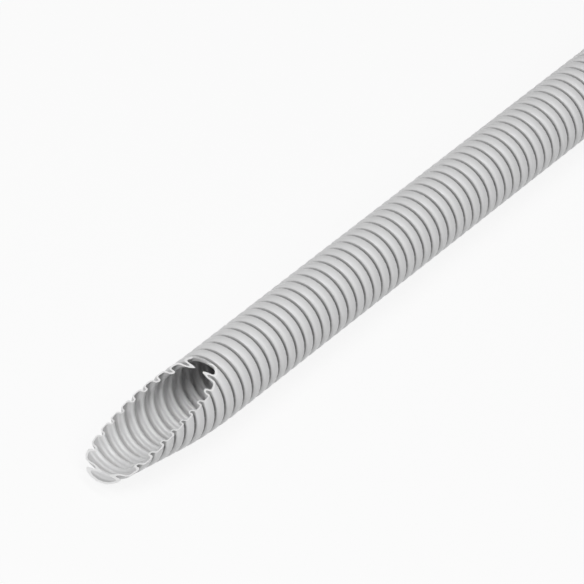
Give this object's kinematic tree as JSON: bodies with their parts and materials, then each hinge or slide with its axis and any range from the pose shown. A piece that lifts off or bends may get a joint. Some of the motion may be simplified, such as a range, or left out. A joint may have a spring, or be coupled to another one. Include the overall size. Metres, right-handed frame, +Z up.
{
  "type": "corrugated conduit",
  "caption": "Pliable corrugated plastic conduit, cut square at one end and cut open at a long slant at the other, for running and protecting electrical wires.",
  "frame": {"origin": "centre of the square-cut end, on the axis of the straight tube", "axes": "+X along the straight tube and out of its square end, +Z up from the floor that the tube lies on, +Y to the side that the slanted end curls to"},
  "size_m": [1.0016, 0.0268, 0.025],
  "materials": {
    "pvc": "satin"
  },
  "bodies": {
    "root": {"conduit": "pvc"}
  },
  "joints": []
}
